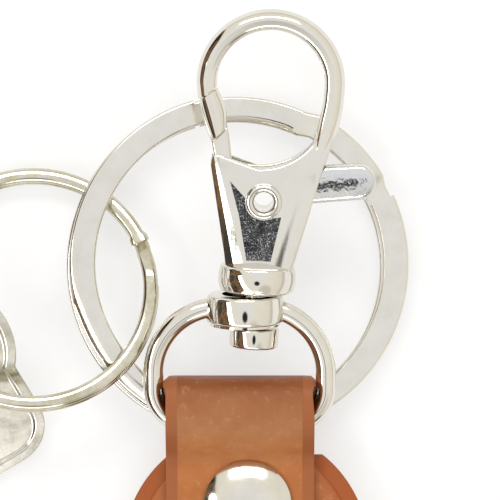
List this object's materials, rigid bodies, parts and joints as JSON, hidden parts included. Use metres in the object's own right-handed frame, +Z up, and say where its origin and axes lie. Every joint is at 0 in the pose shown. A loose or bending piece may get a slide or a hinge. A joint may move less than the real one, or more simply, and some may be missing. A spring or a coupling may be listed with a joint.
{
  "type": "keychain",
  "caption": "Round leather fob on a folded riveted strap, with a swivelling trigger clasp, a large flat split ring, a small split ring and a metal tag.",
  "frame": {"origin": "on the rivet's axis, at the flat crown of its back cap, which the fob lies on", "axes": "+Z up through the fob's face, +Y from the fob towards the clasp, +X to the right"},
  "size_m": [0.0575, 0.0695, 0.0136],
  "materials": {
    "leather": "smooth tan full-grain leather",
    "nickel": "bright nickel plating",
    "ring_steel": "nickel-plated spring steel",
    "spring_steel": "plain spring wire"
  },
  "bodies": {
    "leather": {"leather_strap": "leather", "fob_front": "leather", "fob_back": "leather", "rivet_front_cap": "nickel", "rivet_socket": "nickel", "rivet_post": "nickel", "rivet_back_cap": "nickel"},
    "d_loop": {"d_loop": "nickel"},
    "clasp": {"hook_body": "nickel", "swivel_pin": "nickel", "trigger_pin": "nickel", "trigger_spring": "spring_steel"},
    "trigger": {"trigger": "nickel"},
    "flat_ring": {"flat_ring": "ring_steel"},
    "split_ring": {"split_ring": "ring_steel"},
    "tag": {"tag": "nickel"}
  },
  "joints": [
    {"name": "loop_tilt", "type": "hinge", "parent": "leather", "child": "d_loop", "pos_m": [-0.00083, 0.00868, 0.0059], "axis": [1, 0, 0], "range_deg": [-6, 140], "deforming": ["leather_strap"]},
    {"name": "clasp_swivel", "type": "hinge", "parent": "d_loop", "child": "clasp", "pos_m": [0.00091, 0.02239, 0.00797], "axis": [0.0488, 0.9876, 0.1494], "continuous": true},
    {"name": "trigger_press", "type": "hinge", "parent": "clasp", "child": "trigger", "pos_m": [0.00167, 0.03198, 0.00942], "axis": [0, -0.1495, 0.9888], "range_deg": [-22, 0], "stiffness_Nm_per_rad": 0.03, "springref_deg": 8.59, "deforming": ["trigger_spring"]},
    {"name": "flat_ring_swing", "type": "hinge", "parent": "leather", "child": "flat_ring", "pos_m": [-0.00084, 0.00875, 0.00306], "axis": [1, 0, 0], "range_deg": [-140, 0], "deforming": ["leather_strap"]},
    {"name": "split_ring_swing", "type": "hinge", "parent": "flat_ring", "child": "split_ring", "pos_m": [-0.01777, 0.03291, 0.00216], "axis": [-0.4337, 0.86, -0.2687], "range_deg": [0, 90]},
    {"name": "tag_swing", "type": "hinge", "parent": "split_ring", "child": "tag", "pos_m": [-0.0323, 0.01542, 0.00673], "axis": [0.6019, -0.7747, 0.1938], "range_deg": [-75, 35]}
  ]
}
